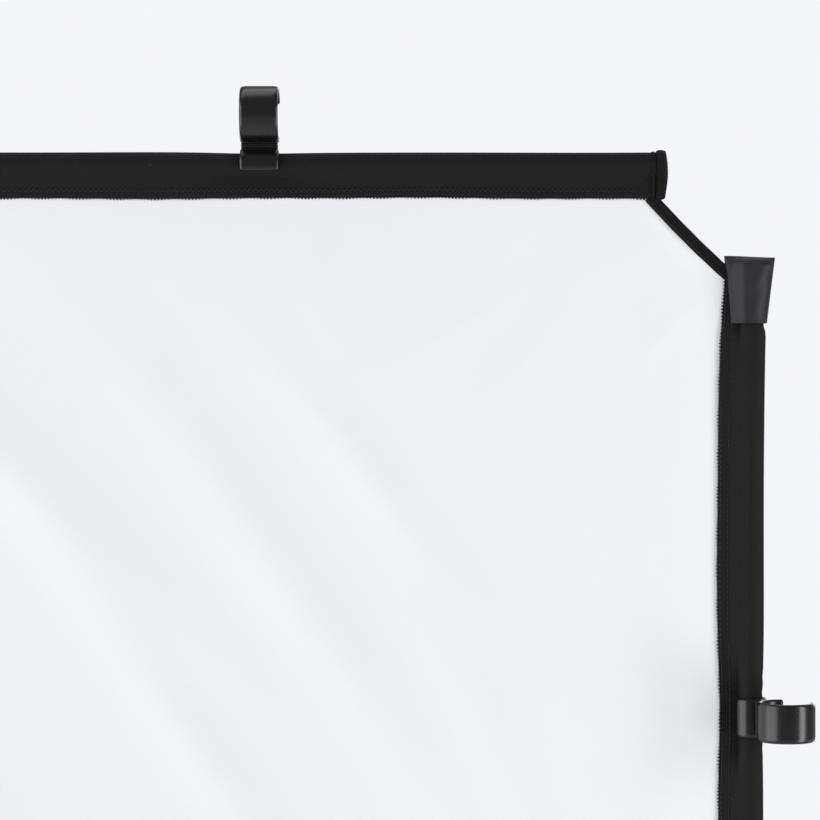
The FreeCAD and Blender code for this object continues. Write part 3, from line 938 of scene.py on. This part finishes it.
def pole_pocket(name, edge, upward):
    """Ovals from flat to round; hems are shallow steps, creases are slanted sines."""
    low, high = (np.array(p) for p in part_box(name + "_pole_pocket"))
    length = high[2] - low[2]
    tip = (EDGES[edge][3] / 2 + length * 0.09) * upward
    t = np.linspace(0, 1, POCKET_ROWS)
    outer, inner, half_depth = pocket_ring(t)
    turn = np.linspace(0, 2 * math.pi, POCKET_COLUMNS, endpoint=False)
    across = np.cos(turn)[None]
    flat = np.clip(1 - t / FLAT_SHARE, 0, 1)[:, None]
    depth_power = 0.75 + 0.25 * (1 - flat)
    depth = half_depth[:, None] * signed_power(np.sin(turn), depth_power)
    middle, half = (outer + inner) / 2, (outer - inner) / 2
    out = middle[:, None] + half[:, None] * across
    depth = pouch_depth(out, depth)
    creases = 0.16 * MM * np.sin(across * 7 + t[:, None] * 16) * np.exp(-t[:, None] * 1.6)
    hem = -0.3 * MM * np.exp(-(((t[:, None] - 0.085) / 0.014) ** 2))
    side_hem = 0.26 * MM * np.exp(-(((across - SIDE_HEM) / 0.035) ** 2))
    hem = hem - side_hem * np.clip(t * 9, 0, 1)[:, None]
    mouth_lip = 0.35 * MM * np.exp(-(((t[:, None] - 0.985) / 0.02) ** 2))
    sign = np.sign(np.sin(turn))[None]
    depth = depth + sign * (creases + hem + mouth_lip)
    along = tip - upward * length * t[:, None] + 0 * across
    along = along - upward * 0.5 * MM * np.sin(across * 1.4) * (1 - t[:, None])
    points = edge_point(edge, out, depth, along)
    piece = tube_surface(name + "_vinyl_pocket", points, smooth_deg=50)
    dress(piece, "panel", vinyl, name + "_pole_pocket", slot="pocket_vinyl")
    for face, which in ((-1, "front"), (1, "back")):
        rows = np.linspace(SEAM_START, SEAM_END, SEAM_STITCHES)
        lines = []
        for u in (rows, rows + SEAM_STITCH):
            outer_u, inner_u, half_u = pocket_ring(u)
            spot_out = (outer_u + inner_u) / 2 + (outer_u - inner_u) / 2 * SIDE_HEM
            flat_u = np.clip(1 - u / FLAT_SHARE, 0, 1)
            rise = math.sqrt(1 - SIDE_HEM**2) ** (1 - 0.25 * flat_u)
            spot_depth = face * (pouch_depth(spot_out, half_u * rise) - 0.2 * MM)
            lines.append(edge_point(edge, spot_out, spot_depth, tip - upward * length * u))
        sewn = stitches(f"{name}_pocket_side_seam_{which}", *lines, np.array((0.0, face, 0.0)))
        dress(sewn, "panel", thread, slot="pocket_vinyl")


for corner, (_, upright, side_x, side_z) in CORNERS.items():
    # The pole frame's along axis points up on the right edge and down on the left one.
    pole_pocket(corner, upright, side_z * side_x)

# %% [markdown]
# ## Moulded clips
#
# A clip is one moulding: a small open ring that grips the sleeve, a short ribbed neck, and a large
# open ring that hooks over the light's tube. Each ring is a band with well rounded edges, so the
# band's section is carried round an arc, and a sphere-like end closes each tip. The three shells
# run into each other as the moulding does.

# %% Clip shape
CLIP_HALF = 10.7 * MM  # half the moulding's width along the pole
# Each ring: inner and outer radius, first and last angle in degrees, and its edges' rounding.
GRIP_RING = (7.0 * MM, 9.3 * MM, -115.0, 115.0, 2.2 * MM)
HOOK_RING = (13.0 * MM, 16.0 * MM, 142.0, 420.0, 3.0 * MM)
NECK_START, NECK_SHORT = 7.9 * MM, 13.9 * MM  # from the pole's axis, and from the hook's
BAND_COLUMNS = 48


def rounded_section(half_wall, half_width, edge_width, columns=BAND_COLUMNS):
    """A rectangle with elliptical corners: a straight share plus a share of cos or sin."""
    turn = np.linspace(0, 2 * math.pi, columns, endpoint=False) + math.pi / columns
    rim = 0.97 * half_wall
    wall = np.sign(np.cos(turn)) * (half_wall - rim) + rim * np.cos(turn)
    width = np.sign(np.sin(turn)) * (half_width - edge_width) + edge_width * np.sin(turn)
    return wall, width


def arc_band(inner, outer, start_deg, end_deg, edge_width):
    """The section round an arc: each end row turns on by a sine and shrinks by a cosine."""
    middle, half_wall = (inner + outer) / 2, (outer - inner) / 2
    cap = np.linspace(0, math.pi / 2 - 0.12, 9)
    trim = half_wall / middle
    start, end = math.radians(start_deg) + trim, math.radians(end_deg) - trim
    body = np.linspace(start, end, 84)
    first, last = start - trim * np.sin(cap[::-1]), end + trim * np.sin(cap)
    angle = np.concatenate([first, body[1:-1], last])
    shrink = np.concatenate([np.cos(cap[::-1]), np.ones(len(body) - 2), np.cos(cap)])
    wall, width = rounded_section(half_wall, CLIP_HALF, edge_width)
    radius = middle + wall[None] * shrink[:, None]
    along = width[None] * (1 - (1 - shrink[:, None]) * half_wall / CLIP_HALF)
    out, depth = radius * np.cos(angle)[:, None], radius * np.sin(angle)[:, None]
    return np.stack([out, depth, along], axis=-1)


def neck_block(low, high):
    """Rounded rectangles from ring to ring: half depth dips beside the rib and swells at it."""
    out = np.linspace(low, high, 60)[:, None]
    step = (out - (low + high) / 2) / MM
    half = (3.35 + 0.75 * np.exp(-((step / 0.62) ** 4)) + 0.03 * step**4).clip(0, 4.2) * MM
    turn = np.linspace(0, 2 * math.pi, BAND_COLUMNS, endpoint=False)[None]
    turn = turn + math.pi / BAND_COLUMNS
    rim, reach = 0.9 * MM, CLIP_HALF - 0.5 * MM
    depth = np.sign(np.sin(turn)) * (half - rim) + rim * np.sin(turn)
    along = np.sign(np.cos(turn)) * (reach - rim) + rim * np.cos(turn) + 0 * out
    return np.stack([out + 0 * turn, depth, along], axis=-1)


def join_pieces(name, pieces):
    """Several meshes as one object."""
    target = pieces[0]
    with bpy.context.temp_override(active_object=target, selected_editable_objects=pieces):
        bpy.ops.object.join()
    target.name = target.data.name = name
    return target


def clip(body, joint, hook_centre):
    """The three shells in the clip's own axes, then turned and placed by its pole and hook."""
    pole = np.array(joint["pos_m"], float)
    reach = np.array(hook_centre, float) - pole
    length = float(np.linalg.norm(reach))
    outward = reach / length
    along = np.array(joint["axis"], float)
    depth = np.cross(along, outward)
    hook = arc_band(*HOOK_RING) + np.array((length, 0.0, 0.0))
    grip = arc_band(*GRIP_RING)
    neck = neck_block(NECK_START, length - NECK_SHORT)
    shells = []
    for label, shell in (("hook", hook), ("grip", grip), ("neck", neck)):
        placed = pole + shell @ np.stack([outward, depth, along])
        shells.append(tube_surface(f"{body}_{label}", placed))
    return join_pieces(body.replace("_clip", "_moulded_clip"), shells)


record = frame["record"]
hooks = {mount["name"]: mount["pos_m"] for mount in record["mounts"]}
for joint in record["behaviour"]["joints"]:
    body = joint["child"]
    piece = clip(body, joint, hooks[body.replace("_clip", "_hook")])
    dress(piece, body, moulding, body, slot="clip_plastic")

# %% [markdown]
# ## Poles inside the sleeves
#
# The tubes, ferrules, plugs and elastic cords keep their solids, because their shape is right
# already. They only need a finish.

# %% Finishes for the inner parts
INNER = {
    "pole_tubes": tube_metal, "pole_ferrules": ferrule_metal,
    "pole_end_plugs": moulding, "pole_shock_cord": thread,
}
for edge in EDGES:
    for part, material in INNER.items():
        node = bpy.data.objects[frame["nodes"][f"{edge}_{part}"].name]
        node.data.materials.clear()
        node.data.materials.append(material)

# %% [markdown]
# ## Light, floor and background
#
# Two tall soft boxes stand to the sides, so that glossy parts show a bright streak on each flank.
# The left one is the larger, and lights the cloth from one side so that its folds show. Smaller
# boxes stand above and behind, and the world's even light fills the front. The floor glows a
# little, which keeps it pale under lights that come from the side.


# %% Lights and stage
def soft_box(name, place, aim, size, radiance):
    """An area light aimed at a point; its power is radiance times area times pi."""
    data = bpy.data.lights.new(name, "AREA")
    data.shape, data.size, data.size_y = "RECTANGLE", size[0], size[1]
    data.energy = radiance * size[0] * size[1] * math.pi
    light = bpy.data.objects.new(name, data)
    light.location = place
    away = np.array(place, float) - np.array(aim, float)
    turn = math.atan2(away[1], away[0]) + math.pi / 2
    tilt = math.acos(away[2] / np.linalg.norm(away))
    light.rotation_euler = (tilt, 0, turn)
    bpy.context.scene.collection.objects.link(light)


corner_aim = (RIGHT - 0.15, PANEL_Y, HEAD - 0.25)
leaf_aim = (MID_X, PANEL_Y, MID_Z)
soft_box("right_box", (RIGHT + 1.7, PANEL_Y - 1.0, HEAD - 0.4), corner_aim, (0.8, 2.6), 5.6)
soft_box("left_box", (LEFT - 1.7, PANEL_Y - 0.85, HEAD - 0.2), corner_aim, (3.2, 3.6), 2.85)
soft_box("top_box", (RIGHT - 0.4, PANEL_Y + 0.25, HEAD + 1.6), corner_aim, (2.0, 0.9), 1.5)
soft_box("back_box", (MID_X + 1.6, PANEL_Y + 2.6, HEAD + 0.6), leaf_aim, (1.8, 2.2), 2.2)
soft_box("back_low_box", (MID_X - 2.0, PANEL_Y + 2.2, MID_Z), leaf_aim, (1.2, 2.4), 2.2)

WORLD_LIGHT, BACKDROP = (0.26, 0.26, 0.27), (0.911, 0.915, 0.945)
world = bpy.data.worlds.new("studio")
bpy.context.scene.world = world
world.use_nodes = True
tree = world.node_tree
seen_by_camera = add_node(tree, "ShaderNodeLightPath")
shade = seen_by_camera.mix(WORLD_LIGHT, BACKDROP)
tree.links.new(shade.socket, tree.nodes["Background"].inputs["Color"])

floor_material, tree, shader = new_material("pale_floor", {
    "Roughness": 0.9, "Specular IOR Level": 0.1, "Emission Color": (0.9, 0.905, 0.93),
    "Emission Strength": 0.45,
})
place = add_node(tree, "ShaderNodeTexCoord", out=3)
finish_material(
    tree, shader, Base_Color=noise(tree, place, 3.0).mix((0.36, 0.36, 0.365), (0.4, 0.4, 0.405))
)
FLOOR_HALF, FLOOR_DROP = 9.0, 2 * MM
side = FLOOR_HALF * np.array([-1, 1, 1, -1])
fore = FLOOR_HALF * np.array([-1, -1, 1, 1])
level = np.full(4, cad_box[0][2] - FLOOR_DROP)
corners = np.stack([MID_X + side, PANEL_Y + fore, level], axis=1)
floor = put_mesh("floor", corners, [[0, 1, 2, 3]], shut=False)
floor.data.materials.append(floor_material)
floor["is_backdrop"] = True

bpy.context.scene.view_settings.view_transform = "Standard"
bpy.context.scene.view_settings.look = "None"

# %% Sizes and the end
seen_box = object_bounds()
pairs = [zip(low, high) for low, high in zip(cad_box, seen_box)]
print("grown by, mm:", [[round(float(b - a) / MM, 1) for a, b in pair] for pair in pairs])
